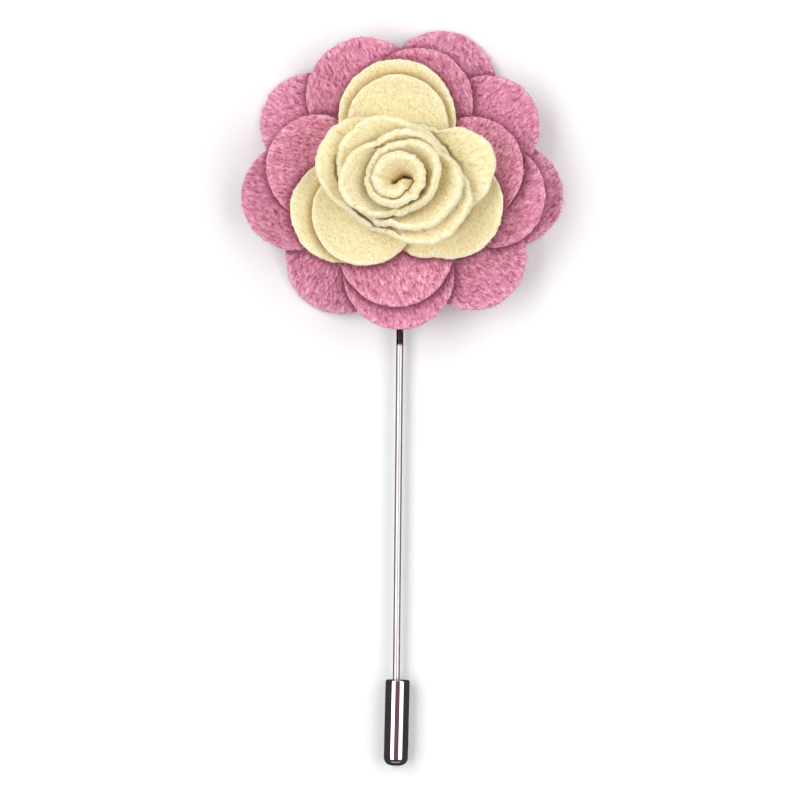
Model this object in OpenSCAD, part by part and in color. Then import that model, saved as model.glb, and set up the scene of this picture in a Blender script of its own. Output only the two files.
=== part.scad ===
// Felt flower on a stick pin, lying on its back with the shaft towards -Y.
// The flower is a stack of die-cut felt layers with a rolled, scalloped strip on top.
// The shaft is level, and its stopper and four petal tips touch the surface at z = 0.

/* [Felt] */
// Thickness of the felt
felt_t = 1.0; // [1:0.05:1.2]
// Air between two stacked layers at the glued middle
layer_gap = 0.12; // [0.1:0.01:0.2]
// Height of the lowest layer's underside above the surface
stack_z = 2.95; // [2.9:0.05:3.2]
// How far from the middle the raised layers stay flat
flat_r = 7.5; // [7:0.25:8]

/* [Rolled strip] */
// Radial step from one turn of the strip to the next, at its foot
turn_pitch = 1.08; // [1.05:0.01:1.2]
// Radius of the strip's foot at its inner end
first_foot_r = 0.12; // [0.1:0.02:0.4]

/* [Pin] */
// Diameter of the shaft
shaft_d = 0.9; // [0.7:0.05:1.1]
// Sideways lean of the shaft in the flower's plane, in degrees
shaft_lean = 0.6; // [0:0.1:2]
// Distance from the flower's middle to the stopper's mouth, along the shaft
mouth_at = 62.1; // [50:0.1:66]
// Diameter of the pad under the flower
pad_d = 10; // [8:0.5:11]

/* [Stopper] */
// Diameter of the barrel
stopper_d = 3.0; // [2.8:0.1:3.2]
// Length of the barrel
stopper_l = 10.7; // [8:0.1:12]
// Depth of the blind bore
bore_depth = 8.6; // [6:0.1:9]
// Radial clearance between bore and shaft
bore_clear = 0.05; // [0.02:0.01:0.1]

/* [Hidden] */
$fn = 64;
pink = "palevioletred";
cream = "cornsilk";
metal = "silver";

// Each layer is a table with a row per lobe, counterclockwise:
// angle of the lobe from the middle, distance of its centre, its radius
ANGLE = 0;
OUT = 1;
RADIUS = 2;
pink_1 = [[-7.4, 14.1, 6.3], [66.4, 12.8, 6.85], [147.8, 13.0, 6.4], [233.0, 12.3, 6.8]];
pink_2 = [[-46.4, 13.1, 6.7], [31.0, 12.8, 6.4], [112.6, 11.3, 7.3], [189.0, 13.2, 6.7]];
// the third layer's last lobe lies hidden under the fourth layer
pink_3 = [[-90.7, 11.7, 6.9], [-9.6, 11.7, 6.5], [76.7, 9.8, 6.8], [172.0, 9.5, 5.6]];
// the fourth layer's third lobe lies hidden under the cream layers
pink_4 = [[-93.0, 8.7, 7.1], [8.7, 9.0, 6.4], [90.0, 8.0, 4.8], [171.5, 10.2, 6.5]];
// the first cream layer's right lobe is wide, so it takes two circles
cream_1 = [[-63.4, 6.7, 3.8], [-28.2, 7.0, 6.6], [93.0, 7.5, 7.3], [209.0, 8.1, 6.5]];
// the second cream layer's first lobe lies hidden under the rolled strip
cream_2 = [[-28.0, 4.2, 5.2], [92.6, 6.6, 6.3], [224.0, 6.1, 6.5]];

// A lobe's edge is an arc that runs this far to each side of its tip
arc_half = 112;
// steps along that arc
arc_steps = 13;
// radius at the bottom of the notch between two lobes that stand apart
notch_r = 6.0;
// rings of points from the flat middle to the edge, as shares of the way
ring_at = [0, 0.4, 0.72, 1];
// where the middle is narrower than flat_r, the innermost ring lies at this share of it
inner_ring = 0.8;
// how steeply a layer bends up or down beyond its flat middle
bend = 1.7;
// the lowest layer's tips come down to the surface at this radius
droop_from = 10;
droop_to = 19.1;
// rise of each raised layer at reach_r from the middle, below zero for a droop
reach_r = 19.5;
rise_2 = -0.6;
rise_3 = 1.2;
rise_4 = 3.6;
rise_5 = 6.5;
rise_6 = 9.5;

layer_step = felt_t + layer_gap;
function layer_z(i) = stack_z + (i - 1) * layer_step;
strip_z = layer_z(7);

// The rolled strip, with a row per scallop, from the inner end outwards.
// from and to are the turn so far, in degrees; the strip runs clockwise seen from above.
// r0 to r4 are the rim's radius at the two ends and the three quarter points,
// z_end the rim's height at the scallop's ends, z_top at its middle,
// r_dip and z_dip the rim in the notch that follows.
//        from   to    r0    r1     r2     r3     r4    z_end z_top r_dip z_dip
SCALLOPS = [
    [    0,  180,  1.30, 1.80,  2.55,  3.10,  3.40, 5.9,  6.2,  3.35, 6.5],
    [  186,  470,  3.29, 3.30,  3.63,  3.77,  3.84, 6.6,  7.2,  3.50, 4.6],
    [  560,  812,  4.32, 4.47,  5.84,  5.20,  4.59, 5.0,  6.5,  4.65, 4.2],
    [  820,  958,  4.91, 6.48,  7.50,  6.96,  5.75, 4.4,  5.7,  5.70, 4.4],
    [  964, 1045,  5.71, 6.06,  6.37,  6.52,  6.36, 5.0,  5.8,  6.34, 4.6],
    [ 1052, 1184,  6.68, 8.10,  7.92,  7.12,  6.25, 4.4,  5.2,  6.70, 2.4],
    [ 1264, 1383,  7.90, 8.72,  8.62,  7.54,  6.95, 3.2,  4.6,  6.90, 2.2],
    [ 1432, 1545,  7.80, 9.62,  9.67,  8.70,  7.30, 3.0,  4.2,  7.30, 2.6],
    [ 1553, 1664,  7.40, 7.60,  9.40, 10.95, 10.35, 2.6,  3.4,  7.20, 1.6],
    [ 1741, 1828,  7.30, 10.35, 12.20, 11.25, 9.60, 1.8,  2.6,  9.60, 1.8]
];
FROM = 0;
TO = 1;
R0 = 2;
Z_END = 7;
Z_TOP = 8;
R_DIP = 9;
Z_DIP = 10;
// the roll leans: above lean_from over the strip's foot it moves off the flower's middle
roll_lean = [-0.4, 0.25];
lean_from = 3;
lean_to = 6.5;
// shares of the strip's height at which its section has a point
height_at = [0, 0.32, 0.58, 0.8, 1];
// degrees of turn from one section to the next, a whole number of sections to the turn
turn_step = 11.25;
// the rim's middle lies this share of the felt's thickness inside its outer edge
rim_in = 0.85;
least_flare = 0.05;
// how much higher up a turn looks at the turn inside it
higher_up = 0.6;

function smooth(t) = let (u = min(1, max(0, t))) u * u * (3 - 2 * u);

// Flat layers

// height of a layer's underside at radius r
function bent(r, z, rise) = z + rise * pow(max(0, r - flat_r) / (reach_r - flat_r), bend);
function drooped(r, z) = max(0, z - z * pow(max(0, r - droop_from) / (droop_to - droop_from), bend));

function lobe_centre(l) = l[OUT] * [cos(l[ANGLE]), sin(l[ANGLE])];
function lobe_point(l, k) =
    let (w = l[ANGLE] - arc_half + 2 * arc_half * k / arc_steps)
    lobe_centre(l) + l[RADIUS] * [cos(w), sin(w)];
function next_lobe(lobes, i) = lobes[(i + 1) % len(lobes)];
function apart(a, b) = norm(lobe_centre(a) - lobe_centre(b)) > a[RADIUS] + b[RADIUS];
// the notch after lobe i, half way to the next lobe
function notch(lobes, i) =
    let (turn = i + 1 < len(lobes) ? 0 : 360)
    let (w = (lobes[i][ANGLE] + next_lobe(lobes, i)[ANGLE] + turn) / 2)
    notch_r * [cos(w), sin(w)];
function inside_another(lobes, i, p) =
    max([for (j = [0 : len(lobes) - 1])
        j == i ? -1 : lobes[j][RADIUS] - norm(p - lobe_centre(lobes[j]))]) > 0;
// the edge of the lobes' union, with a notch between lobes that stand apart
function outline(lobes) = [
    for (i = [0 : len(lobes) - 1])
        for (k = [0 : arc_steps + 1])
            let (p = k <= arc_steps ? lobe_point(lobes[i], k) : notch(lobes, i))
            if (k <= arc_steps ? !inside_another(lobes, i, p)
                               : apart(lobes[i], next_lobe(lobes, i)))
                p
];
// the point at share s of the way from the flat middle to edge point p
function ring_place(p, s) =
    norm(p) > flat_r
        ? p * (flat_r + (norm(p) - flat_r) * s) / norm(p)
        : p * (inner_ring + (1 - inner_ring) * s);

// triangles of a closed sheet: the middle and m rings of n points below, then the same above
function ring_point(n, m, side, k, j) = side * (1 + m * n) + 1 + k * n + j % n;
function layer_faces(n, m) = concat(
    [for (j = [0 : n - 1]) [0, ring_point(n, m, 0, 0, j), ring_point(n, m, 0, 0, j + 1)]],
    [for (j = [0 : n - 1])
        [1 + m * n, ring_point(n, m, 1, 0, j + 1), ring_point(n, m, 1, 0, j)]],
    [for (k = [0 : m - 2]) for (j = [0 : n - 1]) for (half = [0, 1])
        let (a = ring_point(n, m, 0, k, j), b = ring_point(n, m, 0, k, j + 1))
        let (c = ring_point(n, m, 0, k + 1, j + 1), d = ring_point(n, m, 0, k + 1, j))
        half == 0 ? [a, d, c] : [a, c, b]],
    [for (k = [0 : m - 2]) for (j = [0 : n - 1]) for (half = [0, 1])
        let (a = ring_point(n, m, 1, k, j), b = ring_point(n, m, 1, k, j + 1))
        let (c = ring_point(n, m, 1, k + 1, j + 1), d = ring_point(n, m, 1, k + 1, j))
        half == 0 ? [a, c, d] : [a, b, c]],
    [for (j = [0 : n - 1]) for (half = [0, 1])
        let (a = ring_point(n, m, 0, m - 1, j), b = ring_point(n, m, 0, m - 1, j + 1))
        let (c = ring_point(n, m, 1, m - 1, j + 1), d = ring_point(n, m, 1, m - 1, j))
        half == 0 ? [a, d, c] : [a, c, b]]
);

module felt_layer(lobes, level, rise) {
    z = layer_z(level);
    edge = outline(lobes);
    n = len(edge);
    m = len(ring_at);
    under = [
        for (s = ring_at) for (p = edge)
            let (q = ring_place(p, s), r = norm(q))
            [q.x, q.y, level == 1 ? drooped(r, z) : bent(r, z, rise)]
    ];
    over = [for (p = under) p + [0, 0, felt_t]];
    polyhedron(
        points = concat([[0, 0, z]], under, [[0, 0, z + felt_t]], over),
        faces = layer_faces(n, m)
    );
}

// Rolled strip

// stations along the rim: five on each scallop and one in the notch after it
function rim_stations(col) = [
    for (i = [0 : len(SCALLOPS) - 1])
        let (s = SCALLOPS[i], next = SCALLOPS[min(i + 1, len(SCALLOPS) - 1)])
        for (k = [0 : i + 1 < len(SCALLOPS) ? 5 : 4])
            k < 5
                ? [s[FROM] + (s[TO] - s[FROM]) * k / 4,
                   col == R0 ? s[R0 + k] : s[Z_END] + (s[Z_TOP] - s[Z_END]) * sin(45 * k)]
                : [(s[TO] + next[FROM]) / 2, col == R0 ? s[R_DIP] : s[Z_DIP]]
];
rim_r_at = rim_stations(R0);
rim_z_at = rim_stations(Z_TOP);
function rim_r(turn) = lookup(turn, rim_r_at);
function rim_z(turn) = lookup(turn, rim_z_at);
function foot_r(turn) = first_foot_r + turn_pitch * turn / 360;
function rim_slope(turn) =
    atan2(rim_z(turn), 2 * max(least_flare, rim_r(turn) - rim_in * felt_t - foot_r(turn)));

// A wall is a list of [radius, height] from foot to rim. Each turn wraps round the one
// inside it: its inner wall flares out by itself, but stays a gap clear of that turn,
// measured a little higher up, where that turn is wider.
function own_wall(turn) =
    let (f = foot_r(turn), lip = rim_r(turn) - felt_t * sin(rim_slope(turn)) - f)
    [for (s = height_at) [f + lip * s * s, rim_z(turn) * s]];
function inner_wall(turn) =
    turn < 360
        ? own_wall(turn)
        : let (kept_clear = [for (p = outer_wall(turn - 360)) [p.y, p.x + layer_gap]])
          [for (p = own_wall(turn)) [max(p.x, lookup(p.y + higher_up, kept_clear)), p.y]];
function outer_wall(turn) =
    let (inner = inner_wall(turn), slope = rim_slope(turn))
    [for (i = [0 : len(height_at) - 1])
        let (s = height_at[i], n = (1 - s) * [1, 0] + s * [sin(slope), -cos(slope)])
        let (p = inner[i] + felt_t * n / norm(n))
        [p.x, max(0, p.y)]];

// one section: up the inner wall and down the outer one
function strip_section(turn) =
    let (outer = outer_wall(turn))
    concat(inner_wall(turn), [for (i = [len(outer) - 1 : -1 : 0]) outer[i]]);
function leaned(z) = roll_lean * smooth((z - lean_from) / (lean_to - lean_from));

module rose_strip_solid() {
    count = ceil(SCALLOPS[len(SCALLOPS) - 1][TO] / turn_step);
    c = 2 * len(height_at);
    points = [
        for (i = [0 : count])
            let (turn = turn_step * i)
            for (p = strip_section(turn))
                let (mid = leaned(p.y))
                [mid.x + p.x * cos(turn), mid.y - p.x * sin(turn), strip_z + p.y]
    ];
    wall = [
        for (i = [0 : count - 1]) for (k = [0 : c - 1]) for (half = [0, 1])
            let (a = i * c + k, b = i * c + (k + 1) % c)
            half == 0 ? [a, b, b + c] : [a, b + c, a + c]
    ];
    half_c = len(height_at);
    ends = [
        for (k = [0 : half_c - 2]) for (half = [0, 1])
            let (a = k, b = k + 1, d = c - 1 - k, e = c - 2 - k)
            half == 0 ? [a, e, b] : [a, d, e]
    ];
    far_ends = [for (t = ends) [t[0] + count * c, t[2] + count * c, t[1] + count * c]];
    polyhedron(points = points, faces = concat(wall, ends, far_ends));
}

// Pin and stopper

shaft_r = shaft_d / 2;
// the stopper lies on the surface and holds the shaft's axis at its own radius
axis_z = stopper_d / 2;
// solder bead that holds the shaft's end to the pad
bead_r = 0.7;
bead_from = -4;
bead_to = 6;
pad_t = 0.8;
// air between the pad and the lowest felt layer
pad_gap = 0.05;
pad_top = stack_z - pad_gap;
// a shallow groove at the stopper's mouth, then the stretch inside it, then the point
groove_l = 0.8;
groove_depth = 0.1;
groove_before = 0.25;
groove_at = mouth_at - groove_before;
// air between the point and the bottom of the bore
tip_gap = 0.3;
tip_at = mouth_at + bore_depth - tip_gap;
point_l = 1.6;
point_r = 0.12;
// the shaft's axis crosses the flower this far to the right of the middle
axis_x = 0.19;

// puts something built along +Z, from the flower's middle outwards, on the shaft's axis
module on_shaft() {
    translate([axis_x, 0, axis_z]) rotate([90, 0, -shaft_lean]) children();
}

module stick_pin_solid() {
    on_shaft() {
        translate([0, 0, bead_from]) cylinder(r = bead_r, h = bead_to - bead_from);
        rotate_extrude() polygon([
            [0, 0],
            [shaft_r, 0],
            [shaft_r, groove_at],
            [shaft_r - groove_depth, groove_at + groove_l / 2],
            [shaft_r, groove_at + groove_l],
            [shaft_r, tip_at - point_l],
            [point_r, tip_at],
            [0, tip_at]
        ]);
    }
    translate([0, 0, pad_top - pad_t]) cylinder(d = pad_d, h = pad_t);
}

// rounding of the stopper's mouth, and length of its domed end
round_r = 0.25;
dome_l = 1.3;
module stopper_solid() {
    r = stopper_d / 2;
    bore_r = shaft_r + bore_clear;
    steps = 8;
    on_shaft() translate([0, 0, mouth_at]) rotate_extrude() polygon(concat(
        [[bore_r, 0]],
        [for (i = [0 : steps]) [r - round_r + round_r * sin(90 * i / steps),
                                round_r - round_r * cos(90 * i / steps)]],
        [for (i = [0 : steps]) [r * cos(90 * i / steps),
                                stopper_l - dome_l + dome_l * sin(90 * i / steps)]],
        [[0, bore_depth], [bore_r, bore_depth]]
    ));
}

// The whole, with the origin under the middle of its own box

function high(lobes, a) = max([for (l = lobes) l[OUT] * cos(l[ANGLE] - a) + l[RADIUS]]);
outer_lobes = concat(pink_1, pink_2, pink_3);
box_right = high(outer_lobes, 0);
box_left = -high(outer_lobes, 180);
box_top = high(outer_lobes, 90);
box_bottom = -(mouth_at + stopper_l) * cos(shaft_lean);
shift = -[(box_left + box_right) / 2, (box_bottom + box_top) / 2, 0];

module stick_pin() {
    color(metal) translate(shift) stick_pin_solid();
}
module stopper() {
    color(metal) translate(shift) stopper_solid();
}
module pink_layer_1() {
    color(pink) translate(shift) felt_layer(pink_1, 1, 0);
}
module pink_layer_2() {
    color(pink) translate(shift) felt_layer(pink_2, 2, rise_2);
}
module pink_layer_3() {
    color(pink) translate(shift) felt_layer(pink_3, 3, rise_3);
}
module pink_layer_4() {
    color(pink) translate(shift) felt_layer(pink_4, 4, rise_4);
}
module cream_layer_1() {
    color(cream) translate(shift) felt_layer(cream_1, 5, rise_5);
}
module cream_layer_2() {
    color(cream) translate(shift) felt_layer(cream_2, 6, rise_6);
}
module rose_strip() {
    color(cream) translate(shift) rose_strip_solid();
}

stick_pin();
stopper();
pink_layer_1();
pink_layer_2();
pink_layer_3();
pink_layer_4();
cream_layer_1();
cream_layer_2();
rose_strip();
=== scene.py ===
# %% [markdown]
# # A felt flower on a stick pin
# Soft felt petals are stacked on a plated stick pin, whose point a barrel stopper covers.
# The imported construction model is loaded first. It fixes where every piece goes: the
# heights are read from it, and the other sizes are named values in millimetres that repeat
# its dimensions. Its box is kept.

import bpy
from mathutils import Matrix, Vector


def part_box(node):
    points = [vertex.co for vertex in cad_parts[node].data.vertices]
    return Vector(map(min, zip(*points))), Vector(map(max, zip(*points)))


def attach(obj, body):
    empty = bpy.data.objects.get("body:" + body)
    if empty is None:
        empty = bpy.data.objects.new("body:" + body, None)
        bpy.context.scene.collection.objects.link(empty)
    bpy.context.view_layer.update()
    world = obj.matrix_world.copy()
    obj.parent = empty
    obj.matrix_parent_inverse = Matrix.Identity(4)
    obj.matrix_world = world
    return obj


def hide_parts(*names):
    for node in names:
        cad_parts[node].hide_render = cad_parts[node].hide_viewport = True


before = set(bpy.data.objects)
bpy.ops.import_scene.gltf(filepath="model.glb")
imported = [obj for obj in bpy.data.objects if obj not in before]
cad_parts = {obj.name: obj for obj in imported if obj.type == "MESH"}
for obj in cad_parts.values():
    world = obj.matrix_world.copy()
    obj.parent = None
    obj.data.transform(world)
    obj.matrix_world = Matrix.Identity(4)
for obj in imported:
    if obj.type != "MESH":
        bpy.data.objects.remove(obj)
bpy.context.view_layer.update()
print("nodes:", sorted(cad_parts))

# %% Other modules, and names used throughout
import cmath
import math
import random

import bmesh
import bpy
from mathutils import Matrix, Vector, noise

MM = 0.001  # metres
FLOWER = "flower_pin"  # the body of everything but the stopper
STOPPER = "stopper_body"
print("the flower, the shaft and the pad ride on", FLOWER, "and the barrel on", STOPPER)

# %% [markdown]
# ## Camera
# The photograph looks straight down on the object. A long lens from far away keeps the
# raised middle of the flower in line with its lower petals, as a close lens would not. The
# plain Standard view keeps the colours as they are worked out, without a film curve.

# %% Camera
VIEW_WIDTH = 99.36  # mm of surface across the picture
VIEW_CENTRE = (-0.27, -0.22)  # mm
CAMERA_HEIGHT = 1500.0  # mm
MEAN_HEIGHT = 3.0  # mm, the height at which the scale is exact
SENSOR = 36.0  # mm

camera_data = bpy.data.cameras.new("camera")
camera_data.sensor_width = SENSOR
camera_data.lens = SENSOR * (CAMERA_HEIGHT - MEAN_HEIGHT) / VIEW_WIDTH
camera_data.clip_start = 0.1
camera_data.clip_end = 10.0
camera = bpy.data.objects.new("camera", camera_data)
camera.location = (VIEW_CENTRE[0] * MM, VIEW_CENTRE[1] * MM, CAMERA_HEIGHT * MM)
bpy.context.collection.objects.link(camera)
bpy.context.scene.camera = camera
bpy.context.scene.view_settings.view_transform = "Standard"
print("lens", round(camera_data.lens, 1), "mm")

# %% [markdown]
# ## Colours and nodes
# Colours are written as they look on a screen, in hex, and one function turns them to the
# linear numbers that a renderer works in. A second small function adds a shader node with
# its settings and links, so that a material reads as a short list of steps.

# %% Helpers for materials
def screen_colour(code):
    """A hex screen colour as linear red, green, blue and alpha."""
    parts = [int(code[i:i + 2], 16) / 255 for i in (1, 3, 5)]
    linear = [p / 12.92 if p <= 0.04045 else ((p + 0.055) / 1.055) ** 2.4 for p in parts]
    return (*linear, 1.0)


def add(tree, kind, values=None, links=None, **settings):
    """A new node: settings on the node, values on its sockets, links into its sockets."""
    made = tree.nodes.new(kind)
    for key, value in settings.items():
        setattr(made, key, value)
    for socket, value in (values or {}).items():
        made.inputs[socket].default_value = value
    for socket, source in (links or {}).items():
        tree.links.new(source, made.inputs[socket])
    return made


def ramp(tree, source, stops):
    """A colour ramp with (position, hex colour) stops."""
    made = add(tree, "ShaderNodeValToRGB", links={"Fac": source})
    while len(made.color_ramp.elements) < len(stops):
        made.color_ramp.elements.new(0.5)
    for element, (position, code) in zip(made.color_ramp.elements, stops):
        element.position = position
        element.color = screen_colour(code)
    return made.outputs["Color"]


def new_material(name):
    """An empty material with its Principled shader joined to the output."""
    material = bpy.data.materials.new(name)
    material.use_nodes = True
    tree = material.node_tree
    tree.nodes.clear()
    shader = add(tree, "ShaderNodeBsdfPrincipled")
    add(tree, "ShaderNodeOutputMaterial", links={"Surface": shader.outputs["BSDF"]})
    return material, tree, shader


# %% [markdown]
# ## Felt
# Wool-blend craft felt is a needled mat of short fibres. Its surface is matt and slightly
# hairy, and the comb of the needles leaves short strokes that run one way, about 0.3 mm wide
# and 0.8 mm long. Real hair on the whole surface would be too many curves, and a picture of
# felt would stretch, so stretched noise draws the strokes in both colour and bump. They
# follow each petal's cut, so they are drawn on a felt_mm attribute, which holds millimetres
# along and across the strokes. A second attribute, painted_light_and_shade, paints light and shade into
# the colour: it is 1 in the creases between the layers, which get painted shade, and -1 on
# the cut rims, which get a painted highlight.

# %% Felt
# A single fibre is about 0.02 mm thick, too fine to show. These are the clumps that they form.
KNOTS_PER_MM = 2.9
KNOT_SHARE = 0.36  # of the relief, and the strokes make the rest
WANDERS_PER_MM = 1.3
WANDER = 0.7  # mm that a stroke strays from its line
PAINTED_RIM_LIGHT = 0.045  # how far up the colour ramp a rim's painted highlight moves


def felt_material(name, stops, painted_crease_colour, stroke, bump_mm, scatter_mm):
    """Felt with strokes of (length, width) mm in the colours of stops, and with deep painted into its creases
    as shade.
    """
    material, tree, shader = new_material(name)
    flat = add(tree, "ShaderNodeAttribute", attribute_name="felt_mm").outputs["Vector"]
    length, width = stroke
    # the strokes wander a little, so the place is nudged before it is stretched
    nudge = add(tree, "ShaderNodeTexNoise", links={"Vector": flat},
                values={"Scale": WANDERS_PER_MM, "Detail": 1.0})
    centred = add(tree, "ShaderNodeVectorMath", operation="SUBTRACT", links={0: nudge.outputs["Color"]},
                  values={1: (0.5, 0.5, 0.5)})
    moved = add(tree, "ShaderNodeVectorMath", operation="MULTIPLY_ADD",
                links={0: centred.outputs["Vector"], 2: flat}, values={1: (WANDER, WANDER, 0.0)})
    combed = add(tree, "ShaderNodeMapping", links={"Vector": moved.outputs["Vector"]},
                 values={"Scale": (1 / length, 1 / width, 1 / width)})
    strokes = add(tree, "ShaderNodeTexNoise", links={"Vector": combed.outputs["Vector"]},
                  values={"Scale": 1.0, "Detail": 2.0, "Roughness": 0.55, "Distortion": 0.3})
    knots = add(tree, "ShaderNodeTexNoise", links={"Vector": flat},
                values={"Scale": KNOTS_PER_MM, "Detail": 2.5, "Roughness": 0.6})
    relief = add(tree, "ShaderNodeMix", data_type="FLOAT", values={"Factor": KNOT_SHARE},
                 links={"A": strokes.outputs["Fac"], "B": knots.outputs["Fac"]})
    # painted_light_and_shade runs from -1 to 1: at -1 a rim moves up the colour ramp as a painted highlight,
    # and at 1 a crease is mixed towards deep as painted shade
    shade = add(tree, "ShaderNodeAttribute", attribute_name="painted_light_and_shade").outputs["Fac"]
    rim = add(tree, "ShaderNodeMath", operation="MULTIPLY", use_clamp=True, links={0: shade},
              values={1: -PAINTED_RIM_LIGHT})
    tone = add(tree, "ShaderNodeMath", operation="ADD",
               links={0: relief.outputs["Result"], 1: rim.outputs["Value"]})
    painted_shade_mix = add(tree, "ShaderNodeMix", data_type="RGBA", clamp_factor=True, links={"Factor": shade})
    tree.links.new(ramp(tree, tone.outputs["Value"], stops), painted_shade_mix.inputs[6])
    painted_shade_mix.inputs[7].default_value = screen_colour(painted_crease_colour)
    tree.links.new(painted_shade_mix.outputs[2], shader.inputs["Base Color"])
    raised = add(tree, "ShaderNodeBump", values={"Strength": 1.0, "Distance": bump_mm * MM},
                 links={"Height": relief.outputs["Result"]})
    tree.links.new(raised.outputs["Normal"], shader.inputs["Normal"])
    shader.inputs["Roughness"].default_value = 0.95
    shader.inputs["Specular IOR Level"].default_value = 0.15
    # thin felt lets some light through, which lifts its creases
    shader.inputs["Subsurface Weight"].default_value = 0.45
    shader.inputs["Subsurface Radius"].default_value = (1.0, 0.75, 0.6)
    shader.inputs["Subsurface Scale"].default_value = scatter_mm * MM
    return material


# %% The two felts
# the colour after the stops is the painted shade in the creases
# dyed, needled wool felt: matt, with pale strokes on a deeper pink ground
PINK = felt_material(
    "needled_pink_felt",
    [(0.36, "#B25B7B"), (0.46, "#D98AA4"), (0.54, "#E89BB5"), (0.64, "#FCC4D6")],
    "#9C4765", (0.76, 0.27), 0.40, 0.5)
# undyed needled wool felt: shorter strokes and less relief, and pale fibres that let light
# farther in, so that it is smooth and glows
CREAM = felt_material(
    "needled_cream_felt",
    [(0.36, "#E6D39E"), (0.46, "#F6E6B6"), (0.54, "#FAEDC5"), (0.64, "#FFF7DC")],
    "#D0B67C", (0.42, 0.26), 0.19, 1.3)
print("felts:", PINK.name, CREAM.name)

# %% [markdown]
# ## From mesh to piece
# Every piece ends the same way: its mesh becomes an object at the origin, with one material.
# An edge that doesn't have two faces is a hole or a stray, so those edges are counted.

# %% Finished pieces
def finished(name, bm, material):
    """Turns a bmesh into an object with one material and prints what it holds."""
    open_edges = sum(1 for edge in bm.edges if len(edge.link_faces) != 2)
    mesh = bpy.data.meshes.new(name)
    bm.to_mesh(mesh)
    bm.free()
    mesh.materials.append(material)
    piece = bpy.data.objects.new(name, mesh)
    bpy.context.collection.objects.link(piece)
    print(f"{name}: {len(mesh.vertices)} vertices, {len(mesh.polygons)} faces, {open_edges} open edges")
    return piece


# %% [markdown]
# ## A mesh from rings
# Petals and strip could be flat sheets with a thickness modifier, but then every rim would
# look alike. They are made by extruding a ring of edges again and again and placing each new
# ring, as a modeller pulls a dish out of a circle. The bmesh operators keep the faces
# closed, and the script only says where each ring lies.

# %% Rings
def ring_mesh(name, rings, material, ends="poked"):
    """Extrudes a circle from ring to ring. A ring is a list of (place, felt_mm, shade).

    ends says how the first and last ring close: poked fans, or merged where the ring's
    two halves meet.
    """
    bm = bmesh.new()
    order = bm.verts.layers.int.new("order")
    felt = bm.verts.layers.float_vector.new("felt_mm")
    painted_light_and_shade = bm.verts.layers.float.new("painted_light_and_shade")
    verts = bmesh.ops.create_circle(bm, segments=len(rings[0]), radius=1.0)["verts"]
    for i, vert in enumerate(verts):
        vert[order] = i
    first = edges = list(bm.edges)
    for k, ring in enumerate(rings):
        if k:
            grown = bmesh.ops.extrude_edge_only(bm, edges=edges)["geom"]
            verts = sorted((g for g in grown if isinstance(g, bmesh.types.BMVert)),
                           key=lambda vert: vert[order])
            edges = [g for g in grown if isinstance(g, bmesh.types.BMEdge)]
        for vert, (place, flat, shade) in zip(verts, ring):
            vert.co = Vector(place) * MM
            vert[felt] = flat
            vert[painted_light_and_shade] = shade
    if ends == "poked":
        for loop in (first, edges):
            cap = bmesh.ops.contextual_create(bm, geom=loop)["faces"]
            bmesh.ops.poke(bm, faces=cap)
    else:
        bmesh.ops.remove_doubles(bm, verts=bm.verts, dist=1e-7)
    bmesh.ops.recalc_face_normals(bm, faces=bm.faces)
    for face in bm.faces:
        face.smooth = True
    return finished(name, bm, material)


# %% [markdown]
# ## The cut felt shapes
# Each shape is cut in one piece, with round lobes joined at the middle. A row gives a
# lobe's angle, its centre's distance from the middle, its radius and the direction of its
# streaks. The edge is the outline of the lobes' circles, stepped evenly along its length.

# %% Lobes
MIDDLE = Vector((-0.2725, 27.1083, 0.0))  # mm, the flower's middle
ARC_HALF = 112  # degrees of each lobe's circle on either side of its tip
NOTCH_R = 6.0  # mm from the middle to the notch where two lobes don't meet
EDGE_SPACING = 0.25  # mm between points along the edge
# angle, out, radius, streaks
SHAPES = {
    "pink_petals_1": [(-7.4, 14.1, 6.3, 35), (66.4, 12.8, 6.85, 110),
                      (147.8, 13.0, 6.4, 159), (233.0, 12.3, 6.8, 72)],
    "pink_petals_2": [(-46.4, 13.1, 6.7, 148), (31.0, 12.8, 6.4, 43),
                      (112.6, 11.3, 7.3, 115), (189.0, 13.2, 6.7, 150)],
    "pink_petals_3": [(-90.7, 11.7, 6.9, 105), (-9.6, 11.7, 6.5, 38),
                      (76.7, 9.8, 6.8, 122), (172.0, 9.5, 5.6, 0)],
    "pink_petals_4": [(-93.0, 8.7, 7.1, 108), (8.7, 9.0, 6.4, 46),
                      (90.0, 8.0, 4.8, 0), (171.5, 10.2, 6.5, 172)],
    "cream_petals_1": [(-63.4, 6.7, 3.8, 70), (-28.2, 7.0, 6.6, 71),
                       (93.0, 7.5, 7.3, 120), (209.0, 8.1, 6.5, 140)],
    "cream_petals_2": [(-28.0, 4.2, 5.2, 0), (92.6, 6.6, 6.3, 122), (224.0, 6.1, 6.5, 141)],
}

# %% Levels
FELT_T = 1.0  # mm, the cloth's thickness
PAD_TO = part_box("stick_pin")[1].z / MM  # mm, the top of the pad under the flower
STACK_Z = PAD_TO + 0.05  # mm, the lowest layer's underside
LAYER_STEP = 1.12  # mm from layer to layer
FLAT_R = 7.5  # mm, where a layer leaves the level
REACH_R = 19.5  # mm from the middle, where its rise is given
BEND = 1.7  # the power of the curve between the two
DROOP = (10.0, 19.1)  # mm from the middle where the lowest petals leave the level and land
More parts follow.
